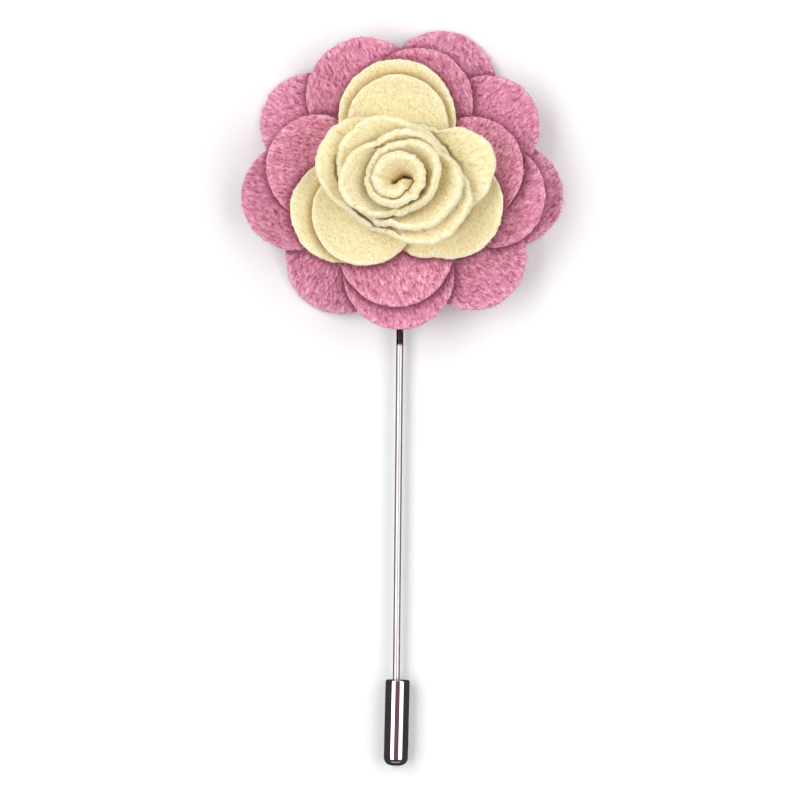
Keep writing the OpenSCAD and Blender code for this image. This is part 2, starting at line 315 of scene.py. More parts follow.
# node that each replaces, level in the stack, rise at REACH_R in mm
LEVELS = {
    "pink_petals_1": ("pink_layer_1", 1, 0.0),
    "pink_petals_2": ("pink_layer_2", 2, -0.6),
    "pink_petals_3": ("pink_layer_3", 3, 1.2),
    "pink_petals_4": ("pink_layer_4", 4, 3.6),
    "cream_petals_1": ("cream_layer_1", 5, 6.5),
    "cream_petals_2": ("cream_layer_2", 6, 9.5),
}
print(len(SHAPES), "shapes,", sum(len(lobes) for lobes in SHAPES.values()), "lobes, from",
      round(STACK_Z, 2), "mm up")


# %% Outlines
def along(angle):
    """The unit vector at an angle in degrees, in the flower's plane."""
    return Vector((math.cos(math.radians(angle)), math.sin(math.radians(angle)), 0.0))


def lobe_edge(lobes, step=2.0):
    """The outline of the lobes' circles, counterclockwise, with notches between them."""
    centres = [along(a) * out for a, out, r, streaks in lobes]
    points = []
    for i, (angle, out, radius, streaks) in enumerate(lobes):
        count = round(2 * ARC_HALF / step)
        for k in range(count + 1):
            p = centres[i] + along(angle - ARC_HALF + step * k) * radius
            if all(j == i or (p - centres[j]).length > lobes[j][2] for j in range(len(lobes))):
                points.append(p)
        j = (i + 1) % len(lobes)
        if (centres[i] - centres[j]).length > radius + lobes[j][2]:
            half_way = (angle + lobes[j][0] + (0 if j else 360)) / 2
            points.append(along(half_way) * NOTCH_R)
    return points


def even_steps(points, spacing):
    """The closed outline again, with its points evenly spaced."""
    closed = points + points[:1]
    lengths = [0.0]
    for a, b in zip(closed, closed[1:]):
        lengths.append(lengths[-1] + (b - a).length)
    count = round(lengths[-1] / spacing)
    stepped, k = [], 0
    for i in range(count):
        want = lengths[-1] * i / count
        while lengths[k + 1] < want:
            k += 1
        share = (want - lengths[k]) / max(1e-9, lengths[k + 1] - lengths[k])
        stepped.append(closed[k].lerp(closed[k + 1], share))
    return stepped


for name, lobes in SHAPES.items():
    print(name, "outline of", len(even_steps(lobe_edge(lobes), EDGE_SPACING)), "points")

# %% [markdown]
# ## Loose fibres
# The cutting die frees some fibres, which stand up on a cut edge and blur its outline. A
# hair system would draw them too, but it isn't part of a mesh. They are short thin curves
# with a bevel, joined into one mesh for each layer.

# %% Loose fibres
FIBRE_R = 0.016  # mm, wool is about 0.012, which is too fine to show
FIBRE_ROOT = 0.05  # mm that a fibre reaches into the cloth
FIBRE_L = (0.15, 0.5)  # mm, the shortest and the longest
FIBRE_CURL = 0.6
FIBRES_PER_MM = 5.0
LOWEST = 0.03  # mm, so that no fibre pierces the floor
chance = random.Random(7)


def random_way():
    """A random vector in the cube from -1 to 1."""
    return Vector([chance.uniform(-1, 1) for axis in range(3)])


def loose_fibres(name, roots, material):
    """Short curled tubes that stand up at roots, a list of (place, way) in mm."""
    curve = bpy.data.curves.new(name, "CURVE")
    curve.dimensions = "3D"
    curve.bevel_depth = FIBRE_R * MM
    curve.bevel_resolution = 0
    curve.use_fill_caps = True
    for place, way in roots:
        place = place - way * FIBRE_ROOT
        length = chance.uniform(*FIBRE_L)
        curl = random_way() * FIBRE_CURL
        tube = curve.splines.new("POLY")
        tube.points.add(3)
        for point in tube.points:
            point.co = (*(Vector((place.x, place.y, max(LOWEST, place.z))) * MM), 1.0)
            place = place + way * (length / 3)
            way = (way + curl).normalized()
    drawn = bpy.data.objects.new(name, curve)
    mesh = bpy.data.meshes.new_from_object(drawn)
    bpy.data.objects.remove(drawn)
    bm = bmesh.new()
    bm.from_mesh(mesh)
    bmesh.ops.remove_doubles(bm, verts=bm.verts, dist=1e-8)
    bmesh.ops.recalc_face_normals(bm, faces=bm.faces)
    felt = bm.verts.layers.float_vector.new("felt_mm")
    painted_light_and_shade = bm.verts.layers.float.new("painted_light_and_shade")
    for vert in bm.verts:
        vert[felt] = vert.co / MM
        # every fibre gets the rims' painted highlight
        vert[painted_light_and_shade] = -1.0
    bpy.data.meshes.remove(mesh)
    print(len(roots), "fibres")
    return finished(name, bm, material)


def tangled(way, spread=0.8):
    """A way out of the cloth, turned at random."""
    return (way + spread * random_way()).normalized()


# %% [markdown]
# ## From outline to felt
# A cut petal has a level middle where it is glued, bends beyond that, and ends in a cut
# edge 1 mm thick with rubbed corners. Small uneven waves keep it from looking moulded. The
# felt is firm and nothing hangs from it, so its bend is a formula and not a simulation. The
# rings run over the top, round the edge and back underneath.

# %% Heights and waves
def layer_height(r, level, rise):
    """Height of a layer's underside at r mm from the middle."""
    z = STACK_Z + (level - 1) * LAYER_STEP
    if level == 1:
        share = max(0.0, r - DROOP[0]) / (DROOP[1] - DROOP[0])
        return max(0.0, z - z * share ** BEND)
    return z + rise * (max(0.0, r - FLAT_R) / (REACH_R - FLAT_R)) ** BEND


def wave(p, size, seed):
    """Smooth noise from -1 to 1 with bumps about size mm apart."""
    return noise.noise(Vector((p.x / size, p.y / size, seed)))


# %% Painted shade in the creases
CREASE_WIDTH = 1.0  # mm beside an upper layer's edge that gets painted shade
CREASE_FADE = 1.6  # the power with which it fades there
UNDER_SHADE = 0.45  # what is left of it far under the upper layer


def crease(q, level):
    """Painted shade: 1 below the edge of a layer above, fading to 0 beside it and to UNDER_SHADE under it."""
    gap = 99.0
    for other, (node, above, rise) in LEVELS.items():
        if above > level:
            for angle, out, radius, streaks in SHAPES[other]:
                gap = min(gap, (q - along(angle) * out).length - radius)
    if gap < 0:
        return max(UNDER_SHADE, 1 + gap / (3 * CREASE_WIDTH))
    return max(0.0, 1 - gap / CREASE_WIDTH) ** CREASE_FADE


print("shade under the lowest notch:", round(crease(along(0) * FLAT_R, 1), 2))


# %% Petals
RING_SPACING = 0.26  # mm between rings on the top
UNDER_RINGS = 10
CORNER = 0.36  # mm, the rubbed corner of a cut edge
CORNER_STEPS = 4
PAINTED_RIM_WIDTH = 0.3  # mm of the top beside the edge that gets a painted highlight
ROUGHNESS = 0.10  # mm, twice, that the die's cut strays
EDGE_WAVES = (0.55, 2.2)  # mm, the lengths of those two waves
WARP = (0.35, 5.0)  # mm, how high a petal waves at REACH_R and how far apart
NAP = (0.05, 0.6)  # mm, how uneven the pile's top is and how far apart
NOTCH_PINCH = 0.2  # how far the rings draw in where a notch lies inside FLAT_R
STREAK_OFFSET = 40  # mm between the layers' patches of streaks, so that no two are alike


def edge_profile(top_rings):
    """Steps of (share of the way out, inset, height) over the top, the edge and the underside."""
    quarter_turn = [math.radians(90 * k / CORNER_STEPS) for k in range(CORNER_STEPS + 1)]
    over = [(k / top_rings, CORNER, 1.0) for k in range(top_rings + 1)]
    over += [(1.0, CORNER * (1 - math.sin(a)), 1 - CORNER * (1 - math.cos(a)) / FELT_T)
             for a in quarter_turn[1:]]
    over.append((1.0, 0.0, 0.5))
    over += [(1.0, CORNER * (1 - math.cos(a)), CORNER * (1 - math.sin(a)) / FELT_T) for a in quarter_turn]
    return over + [(1 - k / UNDER_RINGS, CORNER, 0.0) for k in range(1, UNDER_RINGS + 1)]


def petal_piece(name):
    """A stack layer as a closed felt mesh, with its fibres, its node and its cut size."""
    node, level, rise = LEVELS[name]
    lobes = SHAPES[name]
    edge = even_steps(lobe_edge(lobes), EDGE_SPACING)
    count = len(edge)
    seed = 7.3 * level
    outward = []
    for i in range(count):
        run = edge[(i + 2) % count] - edge[i - 2]
        outward.append(Vector((run.y, -run.x, 0.0)).normalized())
    rough = [p + n * (ROUGHNESS * wave(p, EDGE_WAVES[0], seed) + ROUGHNESS * wave(p, EDGE_WAVES[1], seed + 3))
             for p, n in zip(edge, outward)]
    turns = []
    for p in edge:
        near = max(lobes, key=lambda lobe: lobe[2] - (p - along(lobe[0]) * lobe[1]).length)
        turns.append(math.radians(near[3]))

    def spot(i, share, inset, height):
        """Point i of a ring: share of the way out, inset from the edge, height in the felt."""
        p = rough[i] - outward[i] * inset
        r = p.length
        if r > FLAT_R:
            q = p * ((FLAT_R + (r - FLAT_R) * share) / r)
        else:
            q = p * (1 - NOTCH_PINCH + NOTCH_PINCH * share)
        far = max(0.0, (q.length - FLAT_R) / (REACH_R - FLAT_R))
        z = layer_height(q.length, level, rise) + WARP[0] * far * wave(q, WARP[1], seed + 9)
        z = max(0.0, z) + height * (FELT_T + NAP[0] * wave(q, NAP[1], seed + 5))
        c, s = math.cos(turns[i]), math.sin(turns[i])
        flat = (q.x * c + q.y * s + STREAK_OFFSET * level, q.y * c - q.x * s, height * FELT_T)
        # painted shade beside and under the layers above, and a painted highlight on the top beside the cut
        # edge
        shade = crease(q, level)
        if height > 0.4 and shade < 0.2 and (p - q).length < PAINTED_RIM_WIDTH:
            shade = -1.0
        return (MIDDLE.x + q.x, MIDDLE.y + q.y, z), flat, shade

    top_rings = round((max(p.length for p in edge) - FLAT_R) / RING_SPACING)
    rings = [[spot(i, *step) for i in range(count)] for step in edge_profile(top_rings)]
    felt = PINK if name.startswith("pink") else CREAM
    piece = ring_mesh(name, rings, felt)
    roots = []
    for k in range(round(count * EDGE_SPACING * FIBRES_PER_MM)):
        i = chance.randrange(count)
        ring = top_rings + chance.randrange(-2, CORNER_STEPS + 2)
        if edge[i].length > FLAT_R:
            roots.append((Vector(rings[ring][i][0]), tangled(outward[i] + Vector((0, 0, 0.3)))))
    fibres = loose_fibres(name.replace("petals", "fibres"), roots, felt)
    width = max(p.x for p in edge) - min(p.x for p in edge)
    length = max(p.y for p in edge) - min(p.y for p in edge)
    area = sum(a.x * b.y - b.x * a.y for a, b in zip(edge, edge[1:] + edge[:1])) / 2
    print(f"   cut {width:.1f} by {length:.1f} mm, {area:.0f} square mm")
    return piece, fibres, node, (width, length, area)


petals = {name: petal_piece(name) for name in SHAPES}

# %% [markdown]
# ## The rolled strip
# The middle of the flower is one long strip with a scalloped edge, rolled up clockwise. A
# spiral alone would give a neat machine-made roll, so each scallop has its own row. A row
# gives a scallop's start and end in degrees of turn, the rim's radius at five points along
# it, its height at the ends and in the middle, and the rim in the notch after it.

# %% Strip table
#  from  to    r0    r1    r2     r3     r4     z_end z_top r_dip z_dip
SCALLOPS = [
    (12, 180, 2.05, 2.20, 2.90, 3.25, 3.40, 6.2, 6.0, 3.35, 6.3),
    (186, 470, 3.29, 3.30, 3.63, 3.80, 3.90, 6.4, 7.2, 3.95, 5.6),
    (560, 812, 4.32, 4.47, 5.84, 5.20, 4.59, 4.9, 6.5, 4.65, 4.6),
    (820, 958, 4.91, 6.48, 7.50, 6.96, 5.75, 4.4, 5.7, 5.70, 4.9),
    (964, 1045, 5.71, 6.06, 6.37, 6.52, 6.36, 5.0, 5.8, 6.34, 4.6),
    (1052, 1184, 6.68, 8.10, 7.92, 7.12, 6.25, 4.4, 5.2, 6.70, 2.4),
    (1264, 1383, 7.90, 8.72, 8.62, 7.54, 6.95, 3.2, 4.6, 6.90, 2.2),
    (1432, 1545, 7.80, 9.62, 9.67, 8.70, 7.30, 3.0, 4.2, 7.30, 2.6),
    (1553, 1664, 7.40, 7.60, 9.40, 10.95, 10.35, 2.6, 3.4, 7.20, 1.6),
    (1741, 1828, 7.30, 10.35, 12.20, 11.25, 9.60, 1.8, 2.6, 9.60, 1.8),
]
STRIP_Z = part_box("rose_strip")[0].z / MM  # mm, the strip's foot, just above the sixth layer


# %% Rim
def stations():
    """Turn, rim radius and rim height at five points on each scallop and in each notch."""
    rows = []
    for i, row in enumerate(SCALLOPS):
        start, end, radii, z_end, z_top = row[0], row[1], row[2:7], row[7], row[8]
        for k in range(5):
            z = z_end + (z_top - z_end) * math.sin(math.radians(45 * k))
            rows.append((start + (end - start) * k / 4, radii[k], z))
        if i + 1 < len(SCALLOPS):
            rows.append(((end + SCALLOPS[i + 1][0]) / 2, row[9], row[10]))
    return rows


STATIONS = stations()


def eased(turn, column):
    """The rim's radius (column 1) or height (2), smooth from station to station."""
    if turn >= STATIONS[-1][0]:
        return STATIONS[-1][column]
    k = max(i for i, row in enumerate(STATIONS) if row[0] <= turn)
    x0, x1 = STATIONS[k][0], STATIONS[k + 1][0]
    y = [STATIONS[min(max(j, 0), len(STATIONS) - 1)] for j in range(k - 1, k + 3)]

    def slope(before, at, after):
        left = (at[column] - before[column]) / max(1e-6, at[0] - before[0])
        right = (after[column] - at[column]) / max(1e-6, after[0] - at[0])
        if left * right <= 0:
            return 0.0
        return 2 * left * right / (left + right)

    m0 = slope(y[0], y[1], y[2]) if k else 0.0
    m1 = slope(y[1], y[2], y[3]) if k + 2 < len(STATIONS) else 0.0
    h, t = x1 - x0, (turn - x0) / (x1 - x0)
    return ((2 * t**3 - 3 * t**2 + 1) * y[1][column] + (t**3 - 2 * t**2 + t) * h * m0
            + (3 * t**2 - 2 * t**3) * y[2][column] + (t**3 - t**2) * h * m1)


print(len(STATIONS), "stations; the strip turns", SCALLOPS[-1][1], "degrees")

# %% [markdown]
# ## Walls of the strip
# Each turn flares out by itself but stays clear of the turn inside it, so every section is
# worked out from the inside of the roll outwards. The first turns are wound tight and hug
# each other, and farther out the petals spring open. Crimps make the cut rim uneven. At both
# ends the section closes on its own middle line, which leaves a rounded cut end.

# %% Walls
TURN_PITCH = 1.08  # mm that the foot moves out in a turn
FIRST_FOOT_R = 0.47  # mm
FOOT_STEP = (0.85, 0.15)  # of a turn: where the early turns' foot steps out, and over how much
FOOT_STEP_FADE = (300, 780)  # degrees: from where that turns to an even spiral, and over how many
WALL_STEPS = 13
RIM_IN = 0.85  # share of the thickness that the rim's inner edge lies inside its radius
TIP_DROP = 1.2  # mm that the rolled-in end lies lower
LAYER_GAP = 0.12  # mm between a wall and the turn inside it
HIGHER_UP = 0.6  # mm above a point of a wall up to which the turn inside has to be cleared
HUG_UNTIL = (462, 545)  # degrees over which the felt stops pressing on the turn inside
CRIMP = (0.2, 32, 5.5)  # mm, degrees at the start of the roll, seed
RIM_UNEVEN = (0.14, 12, 3.1)
TOP_UNEVEN = (0.14, 15, 8.7)


def smooth_step(t):
    """0 up to t = 0, 1 from t = 1, and a smooth rise between."""
    u = min(1.0, max(0.0, t))
    return u * u * (3 - 2 * u)


def interpolated(x, table):
    """Straight-line reading of a rising table of (x, y)."""
    if x <= table[0][0]:
        return table[0][1]
    for (x0, y0), (x1, y1) in zip(table, table[1:]):
        if x <= x1:
            return y0 + (y1 - y0) * (x - x0) / max(1e-9, x1 - x0)
    return table[-1][1]


def uneven(turn, amount, length, seed):
    """Noise along the strip, whose bumps keep their size as the roll grows."""
    run = turn * (1 + turn / 700)
    return amount * noise.noise(Vector((run / length, seed, 0.0)))


def foot_radius(turn):
    """Where the wall's foot stands: the early turns step out once, later ones spiral evenly."""
    whole, part = divmod((turn - STATIONS[0][0]) / 360, 1)
    early = 1 - smooth_step((turn - FOOT_STEP_FADE[0]) / FOOT_STEP_FADE[1])
    part += (smooth_step((part - FOOT_STEP[0]) / FOOT_STEP[1]) - part) * early
    return FIRST_FOOT_R + TURN_PITCH * (whole + part)


def flare_power(turn):
    """How late a wall bends outwards: the innermost stay upright, the outer ones open early."""
    return 5.0 - 3.0 * smooth_step((turn - 200) / 300) + 2.0 * (1 - smooth_step((turn - 60) / 100))


def strip_walls(turn, inside):
    """Inner and outer wall of one section as (radius, height), clear of the wall inside."""
    foot = foot_radius(turn)
    crimp = uneven(turn, *CRIMP)
    rim = eased(turn, 1) + crimp + uneven(turn, *RIM_UNEVEN)
    top = eased(turn, 2) - crimp + uneven(turn, *TOP_UNEVEN)
    top -= TIP_DROP * (1 - smooth_step((turn - STATIONS[0][0]) / 60))
    slope = math.atan2(top, 2 * max(0.05, rim - RIM_IN * FELT_T - foot))
    lip = rim - FELT_T * math.sin(slope) - foot
    flare = flare_power(turn)
    hug = 1 - smooth_step((turn - HUG_UNTIL[0]) / (HUG_UNTIL[1] - HUG_UNTIL[0]))
    inner, outer = [], []
    for k in range(WALL_STEPS + 1):
        s = k / WALL_STEPS
        r, z = foot + lip * s ** flare, top * s
        if inside:
            held = hug * (1 - smooth_step((z - inside[-1][0] + 0.5) / 1.1))
            r += (interpolated(z, inside) - r) * held
            r = max(r, interpolated(z + HIGHER_UP * (1 - 0.8 * hug), inside))
        inner.append(Vector((r, z)))
        n = (Vector((1, 0)) * (1 - s) + Vector((math.sin(slope), -math.cos(slope))) * s).normalized()
        far = inner[-1] + n * FELT_T
        outer.append(Vector((far.x, max(0.0, far.y))))
    return inner, outer


print("the foot moves out to", round(foot_radius(SCALLOPS[-1][1]), 1), "mm")

# %% [markdown]
# ## The pressed roll
# Fingers press the first turns flat, so the hollow is a slit and not a round hole. The map
# z + c/z, known from wing sections, turns circles into ellipses that get rounder outwards,
# which is just how the turns pass the squeeze on.

# %% Sections
SLIT_R = 0.45  # mm, half of this is how far the first turn is pressed flat
SLIT_ANGLE = 38  # degrees, the way the pressed opening points
ROLL_LEAN = Vector((-0.4, 0.25))  # mm that the roll's rim lies off the flower's middle
SLIT_SHIFT = Vector((-0.1, -0.35))  # mm that the opening's bottom lies off it
RIM_CORNER = 0.46  # mm, the rubbed corner of the cut rim
TURN_SHADE = 0.7  # how dark the painted shade in the crease beside the turn inside is
HOLLOW_DEPTH = 3.9  # mm above the foot, below which the hollow's painted shade is darkest
RISE_SCALE = 1.2  # the strokes run along the strip, drawn a little finer up the wall


def pressed(r, turn, z):
    """Where radius r at a turn lies, with the first turns pressed flat and leaning."""
    across = cmath.rect(r, -math.radians(turn + SLIT_ANGLE))
    across = (across + SLIT_R ** 2 / across) * cmath.rect(1.0, math.radians(SLIT_ANGLE))
    low = SLIT_SHIFT * (1 - smooth_step((z - 2.0) / 3.5)) * (1 - smooth_step((r - 1.2) / 3.3))
    high = ROLL_LEAN * smooth_step((z - 3.0) / 3.5)
    return MIDDLE + Vector((across.real + low.x + high.x, across.imag + low.y + high.y, STRIP_Z + z))


def section_ring(turn, inner, outer, run, open_by):
    """One section as a ring: up the inner wall, over the rubbed rim, down the outer wall."""
    up = (inner[-1] - inner[-2]).normalized()
    across = (outer[-1] - inner[-1]).normalized()
    corner = [(RIM_CORNER * (1 - math.cos(math.radians(a))), RIM_CORNER * (1 - math.sin(math.radians(a))))
              for a in (0, 22.5, 45, 67.5, 90)]
    rim_in = [(inner[-1] + across * x - up * y, 0.0) for x, y in corner]
    rim_out = [(outer[-1] - across * x - up * y, 1.0) for x, y in reversed(corner)]
    loop = ([(p, 0.0) for p in inner[:-1]] + rim_in + rim_out + [(p, 1.0) for p in outer[-2::-1]])
    from_head = math.radians(turn - STATIONS[0][0]) * STATIONS[0][1]
    to_tail = math.radians(SCALLOPS[-1][1] - turn) * STATIONS[-1][1]
    to_end = min(from_head, to_tail)
    thick = math.sqrt(max(0.0, 1 - max(0.0, 1 - to_end / RIM_CORNER) ** 2))
    ring = []
    for k, (point, side) in enumerate(loop):
        middle = (point + loop[-1 - k][0]) / 2
        q = middle + (point - middle) * thick
        # painted shade beside the turn inside and down in the hollow, and a painted highlight over the rim
        shade = TURN_SHADE * max(0.0, 1 - open_by(q) / CREASE_WIDTH) ** 2
        if shade < 0.2 and len(inner) - 1 < k < len(loop) - len(inner):
            shade = -1.0
        ring.append((pressed(q.x, turn, q.y), (run, point.y * RISE_SCALE, side), shade))
    return ring


# %% Strip
TURN_STEP = 2.25  # degrees between sections


def strip_turns():
    """The sections' turns, closer together at the strip's two rounded ends."""
    last = SCALLOPS[-1][1]
    close = (0.0, 0.03, 0.1, 0.2, 0.3)  # mm from the end
    head = [STATIONS[0][0] + math.degrees(d / STATIONS[0][1]) for d in close]
    tail = [last - math.degrees(d / STATIONS[-1][1]) for d in reversed(close)]
    steps = [TURN_STEP * i for i in range(round(last / TURN_STEP))]
    return head + [turn for turn in steps if head[-1] < turn < tail[0]] + tail


def strip_piece():
    """The whole strip and its fibres, with its length and its cut area in mm."""
    turns = strip_turns()
    outers, rings, run, area = [], [], 0.0, 0.0
    before = turns[0]
    for turn in turns:
        inside = None
        if turn >= 360 + turns[0]:
            nearest = min(outers, key=lambda row: abs(row[0] - (turn - 360)))[1]
            gap = LAYER_GAP * (0.3 + 0.7 * smooth_step((turn - HUG_UNTIL[0]) / 300))
            inside = [(p.y + 1e-6 * k, p.x + gap) for k, p in enumerate(nearest)]
        inner, outer = strip_walls(turn, inside)
        outers.append((turn, outer))

        def open_by(q):
            """How far a point lies from the turn inside it, and below that turn's rim."""
            # with no turn inside, this grows with height, so the hollow gets painted shade that deepens
            # downwards
            if not inside:
                return max(0.0, 0.3 * (q.y - HOLLOW_DEPTH))
            return max(0.0, q.x - interpolated(q.y, inside)) + max(0.0, q.y - inside[-1][0] + 0.5)

        step = math.radians(turn - before) * (inner[0].x + inner[-1].x) / 2
        height = sum((b - a).length for a, b in zip(inner, inner[1:]))
        run, area, before = run + step, area + step * height, turn
        rings.append(section_ring(turn, inner, outer, run, open_by))
    roots = []
    for k in range(round(run * FIBRES_PER_MM)):
        ring = chance.choice(rings)
        i = len(ring) // 2 + chance.randrange(-5, 5)
        roots.append((Vector(ring[i][0]), tangled(Vector((0, 0, 0.5)), 1.5)))
    fibres = loose_fibres("strip_fibres", roots, CREAM)
    return ring_mesh("rolled_strip", rings, CREAM, ends="merged"), fibres, run, area


strip, strip_fibres, strip_length, strip_area = strip_piece()
print(f"strip {strip_length:.0f} mm long, {strip_area:.0f} square mm")

# %% [markdown]
# ## Plated metal
# The pin is nickel-plated steel wire and the stopper is chrome-plated brass. Plating copies
# the metal under it: turned and polished brass stays a mirror, drawn wire stays satin with
# marks along its length. Near the flower the wire's colour is a painted dark brown, which
# stands for the petals' shade on it and their reflection in it.
# A mirror has no colour pattern of its own, so only its roughness varies, on Object
# coordinates in millimetres.

# %% Plating
def plated(name, colour, roughness, marks, painted_petal_shade=None):
    """A polished plating with faint marks, sized (across, along) the axis in mm.

    tint is the painted shade and reflection near the flower, as (hex colour, y in mm where it fades, y in mm
    where it is full).
    """
    material, tree, shader = new_material(name)
    place = add(tree, "ShaderNodeTexCoord").outputs["Object"]
    across, axial = (1 / (size * MM) for size in marks)
    stretched = add(tree, "ShaderNodeMapping", links={"Vector": place},
                    values={"Scale": (across, axial, across)})
    rubbed = add(tree, "ShaderNodeTexNoise", links={"Vector": stretched.outputs["Vector"]},
                 values={"Scale": 1.0, "Detail": 3.0})
    dull = add(tree, "ShaderNodeMapRange", links={"Value": rubbed.outputs["Fac"]},
               values={"To Min": roughness * 0.7, "To Max": roughness * 1.3})
    tree.links.new(dull.outputs["Result"], shader.inputs["Roughness"])
    shader.inputs["Base Color"].default_value = screen_colour(colour)
    shader.inputs["Metallic"].default_value = 1.0
    if painted_petal_shade:
        y = add(tree, "ShaderNodeSeparateXYZ", links={0: place}).outputs["Y"]
        shaded_near_flower = add(tree, "ShaderNodeMapRange", links={"Value": y},
                     values={"From Min": painted_petal_shade[1] * MM, "From Max": painted_petal_shade[2] * MM})
        mixed = add(tree, "ShaderNodeMix", data_type="RGBA", links={"Factor": shaded_near_flower.outputs["Result"]})
        mixed.inputs[6].default_value = screen_colour(colour)
        mixed.inputs[7].default_value = screen_colour(painted_petal_shade[0])
        tree.links.new(mixed.outputs[2], shader.inputs["Base Color"])
    return material


# %% The two platings
# Lathe marks run round the barrel, and drawing marks run along the wire. Real ones are about
# 0.02 mm wide, too fine to show, so they are drawn 0.2 mm wide.
# bright chrome over polished brass: a mirror that shows the softboxes as two hard streaks
CHROME = plated("chrome_plated_brass", "#E4DFE2", 0.03, (3.0, 0.2))
# nickel over drawn steel: a pale satin that blurs the room into one soft band
# near the flower its colour turns a painted dark brown, for the petals' shade and reflection
NICKEL = plated("nickel_plated_steel", "#F2EEEA", 0.42, (0.2, 6.0), painted_petal_shade=("#452A30", 6.4, 6.8))
print("platings:", CHROME.name, NICKEL.name)

# %% [markdown]
# ## Turned pieces
# Wire, pad and barrel are round, so each is a profile spun round an axis, which is what a
# lathe does. Distances run along the shaft from the flower's middle. The barrel's bore has
# some play on the wire, so it hangs a little askew, turned about its closed end.

# %% Where the shaft lies
AXIS_Z = sum(corner.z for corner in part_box("stopper")) / 2 / MM  # mm, the middle of the stopper
AXIS_X = 0.19  # mm from the flower's middle
LEAN = 0.6  # degrees in the plan
ON_SHAFT = (Matrix.Translation(((MIDDLE.x + AXIS_X) * MM, MIDDLE.y * MM, AXIS_Z * MM))
            @ Matrix.Rotation(math.radians(-LEAN), 4, "Z") @ Matrix.Rotation(math.radians(90), 4, "X"))
print("the shaft's axis is", round(AXIS_Z, 2), "mm above the floor")

# %% Lathe
SPIN_STEPS = 64
SHARP = 35  # degrees between faces, from where an edge isn't smoothed


def spun(name, profile, material, place):
    """Spins a profile of (radius, distance) in mm round the axis and puts it in place."""
    bm = bmesh.new()
    verts = [bm.verts.new((r * MM, 0, z * MM)) for r, z in profile]
    edges = [bm.edges.new((a, b)) for a, b in zip(verts, verts[1:]) if a.co.x + b.co.x > 1e-7]
    bmesh.ops.spin(bm, geom=verts + edges, cent=(0, 0, 0), axis=(0, 0, 1),
                   angle=math.tau, steps=SPIN_STEPS, use_merge=True)
    bmesh.ops.remove_doubles(bm, verts=bm.verts, dist=1e-7)
    bmesh.ops.recalc_face_normals(bm, faces=bm.faces)
    for face in bm.faces:
        face.smooth = True
    for edge in bm.edges:
        if len(edge.link_faces) == 2 and edge.calc_face_angle() > math.radians(SHARP):
            edge.smooth = False
    bmesh.ops.transform(bm, matrix=place, verts=bm.verts)
    return finished(name, bm, material)


def rounded(r, z, radius, start, end, steps):
    """An arc in a profile, about the point (r, z)."""
    angles = [math.radians(start + (end - start) * k / steps) for k in range(steps + 1)]
    return [(r + radius * math.cos(a), z + radius * math.sin(a)) for a in angles]


def blunt_end(radius, at, length, squareness, steps):
    """A domed end's profile: an ellipse at a squareness of 2, and blunter above that."""
    power = 2 / squareness
    angles = [math.radians(90 * k / steps) for k in range(steps + 1)]
    return [(radius * max(0.0, math.cos(a)) ** power, at + length * math.sin(a) ** power) for a in angles]


# %% Shaft
SHAFT_R = 0.43  # mm
MOUTH_AT = 62.1  # mm, where the stopper starts
BORE_DEPTH = 8.6  # mm
TIP_AT = MOUTH_AT + BORE_DEPTH - 0.3
TAPER_L = 1.6  # mm, the point's length
BEAD_R = 0.7  # mm, of the solder that joins shaft and pad
BEAD_FROM, BEAD_TO = -4.0, 6.0
GROOVE_R = 0.35  # mm, a shallow groove at the stopper's mouth
GROOVE_FROM, GROOVE_TO = 61.85, 62.65
bead = [(0, BEAD_FROM), *rounded(BEAD_R - 0.3, BEAD_FROM + 0.3, 0.3, -90, 0, 5),
        *rounded(BEAD_R - 0.25, BEAD_TO - 0.25, 0.25, 0, 90, 5), (SHAFT_R, BEAD_TO), (SHAFT_R, BEAD_TO + 0.2)]
groove = [(SHAFT_R, GROOVE_FROM - 0.15), (SHAFT_R, GROOVE_FROM),
          (GROOVE_R, (GROOVE_FROM + GROOVE_TO) / 2), (SHAFT_R, GROOVE_TO), (SHAFT_R, GROOVE_TO + 0.15)]
point = [(SHAFT_R, TIP_AT - TAPER_L - 0.1), (SHAFT_R, TIP_AT - TAPER_L), (0.12, TIP_AT - 0.05), (0, TIP_AT)]
shaft = spun("pin_shaft", bead + groove + point, NICKEL, ON_SHAFT)

# %% Pad
PAD_R = 5.0  # mm
PAD_FROM = PAD_TO - 0.8  # mm above the floor
PAD_EDGE = 0.15
pad = spun("pin_pad",
           [(0, PAD_FROM), (PAD_R - PAD_EDGE, PAD_FROM),
            *rounded(PAD_R - PAD_EDGE, PAD_FROM + PAD_EDGE, PAD_EDGE, -90, 0, 4),
            *rounded(PAD_R - PAD_EDGE, PAD_TO - PAD_EDGE, PAD_EDGE, 0, 90, 4), (0, PAD_TO)],
           NICKEL, Matrix.Translation((MIDDLE.x * MM, MIDDLE.y * MM, 0)))

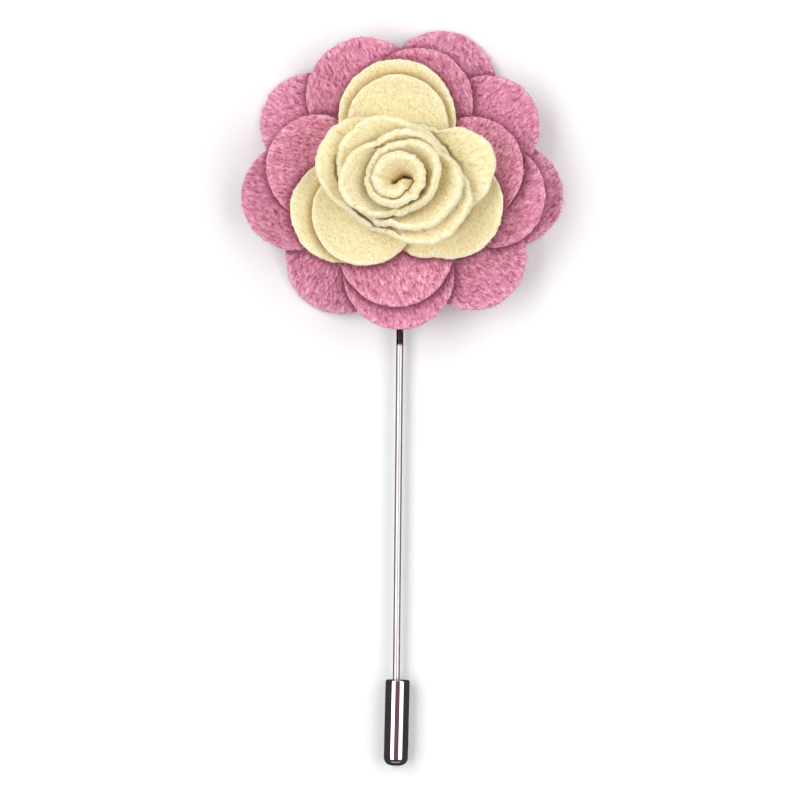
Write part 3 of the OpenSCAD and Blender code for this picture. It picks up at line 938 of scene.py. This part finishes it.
# %% Barrel
STOPPER_R = 1.5  # mm
STOPPER_L = 10.7  # mm
MOUTH_EDGE = 0.28  # mm, the rounding of the open end
END_L = 1.25  # mm, the domed end
END_SQUARENESS = 2.7
BORE_R = 0.65  # mm
CHAMFER = 0.12  # mm
ASKEW = 0.8  # degrees that the barrel hangs askew
ASIDE = 0.03  # mm that its closed end lies beside the axis
hung = (ON_SHAFT @ Matrix.Translation((ASIDE * MM, 0, (MOUTH_AT + STOPPER_L) * MM))
        @ Matrix.Rotation(math.radians(-ASKEW), 4, "Y") @ Matrix.Translation((0, 0, -STOPPER_L * MM)))
barrel = spun("stopper_barrel",
              [(BORE_R, CHAMFER), (BORE_R + CHAMFER, 0),
               *rounded(STOPPER_R - MOUTH_EDGE, MOUTH_EDGE, MOUTH_EDGE, -90, 0, 8),
               *blunt_end(STOPPER_R, STOPPER_L - END_L, END_L, END_SQUARENESS, 24),
               (0, BORE_DEPTH), (BORE_R, BORE_DEPTH), (BORE_R, CHAMFER)],
              CHROME, hung)

# %% [markdown]
# ## What rides on what
# Everything but the stopper is one body, and the stopper is another. The construction solid
# that each piece stands for is hidden. The fibres ride on the same body as the felt that
# they stand on.

# %% Bodies
for name, (piece, fibres, node, cut) in petals.items():
    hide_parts(node)
    for part in (piece, fibres):
        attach(part, FLOWER)
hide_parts("rose_strip")
for part in (strip, strip_fibres):
    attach(part, FLOWER)
for piece in (shaft, pad):
    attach(piece, FLOWER)
    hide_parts("stick_pin")
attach(barrel, STOPPER)
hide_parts("stopper")
print(2 * len(petals) + 2, "felt pieces and 3 metal ones")

# %% [markdown]
# ## Floor
# The photograph has a white sweep without a horizon. A plain matt sheet does the same. The
# metal's reflections leave it out, which keeps the stopper's edges as dark as they are in
# the photograph.

# %% Floor
floor_material, floor_tree, floor_shader = new_material("white_sweep")
floor_shader.inputs["Base Color"].default_value = screen_colour("#FCFCFC")
floor_shader.inputs["Roughness"].default_value = 0.9
sweep = bmesh.new()
bmesh.ops.create_grid(sweep, x_segments=1, y_segments=1, size=2.0)
floor = finished("floor", sweep, floor_material)  # an open sheet, so its 4 edges are open
floor.visible_glossy = False

# %% [markdown]
# ## Light
# Two large softboxes stand to the left and right, a bit behind the flower. They draw the two
# bright streaks on the stopper and the soft shadows on both sides of the wire. A mirror also
# shows the rest of the room, so a dim plum ceiling and two cards stand in for the studio's
# walls. Only the metal sees those three, and they don't change the light on the felt. The
# world is grey for the felt, nearly black for reflections, and white for the camera.

# %% Lights
def soft_light(name, place, size, radiance, colour="#FFFFFF"):
    """An area light of size (across, along) in metres that faces the object."""
    data = bpy.data.lights.new(name, "AREA")
    data.shape = "RECTANGLE"
    data.size, data.size_y = size
    data.energy = math.pi * size[0] * size[1] * radiance
    data.color = screen_colour(colour)[:3]
    light = bpy.data.objects.new(name, data)
    light.location = place
    out = Vector(place).normalized()
    side = Vector((0, 1, 0)).cross(out).normalized()
    turned = Matrix((side, out.cross(side), out)).transposed()
    light.rotation_mode = "QUATERNION"
    light.rotation_quaternion = turned.to_quaternion()
    bpy.context.collection.objects.link(light)
    return light


soft_light("left_softbox", (-0.55, 0.10, 0.712), (0.53, 1.30), 3.05)
soft_light("right_softbox", (0.60, 0.10, 0.671), (0.62, 1.30), 2.0)
overhead = soft_light("studio_ceiling", (0.0, 0.0, 1.7), (1.1, 2.0), 0.26, "#C87C92")
far_card = soft_light("far_card", (0.0, 1.30, 0.42), (1.8, 0.60), 0.9)
near_card = soft_light("near_card", (0.0, -1.30, 0.42), (1.8, 0.50), 0.4)
for metal_only in (overhead, far_card, near_card):
    metal_only.visible_diffuse = False

# %% World
FILL = (0.33, 0.33, 0.33, 1)
DARK_ROOM = (0.056, 0.052, 0.052, 1)
WHITE = (1.0, 1.0, 1.0, 1)
world = bpy.data.worlds.new("studio")
bpy.context.scene.world = world
world.use_nodes = True
world.node_tree.nodes.clear()
sky = world.node_tree
rays = add(sky, "ShaderNodeLightPath")
room = add(sky, "ShaderNodeMix", data_type="RGBA", links={"Factor": rays.outputs["Is Glossy Ray"]})
room.inputs[6].default_value = FILL
room.inputs[7].default_value = DARK_ROOM
seen = add(sky, "ShaderNodeMix", data_type="RGBA", links={"Factor": rays.outputs["Is Camera Ray"]})
sky.links.new(room.outputs[2], seen.inputs[6])
seen.inputs[7].default_value = WHITE
glow = add(sky, "ShaderNodeBackground", links={"Color": seen.outputs[2]})
add(sky, "ShaderNodeOutputWorld", links={"Surface": glow.outputs["Background"]})

# %% [markdown]
# ## Last update
# The looks may stand only a little proud of the construction.

# %% Update
bpy.context.view_layer.update()
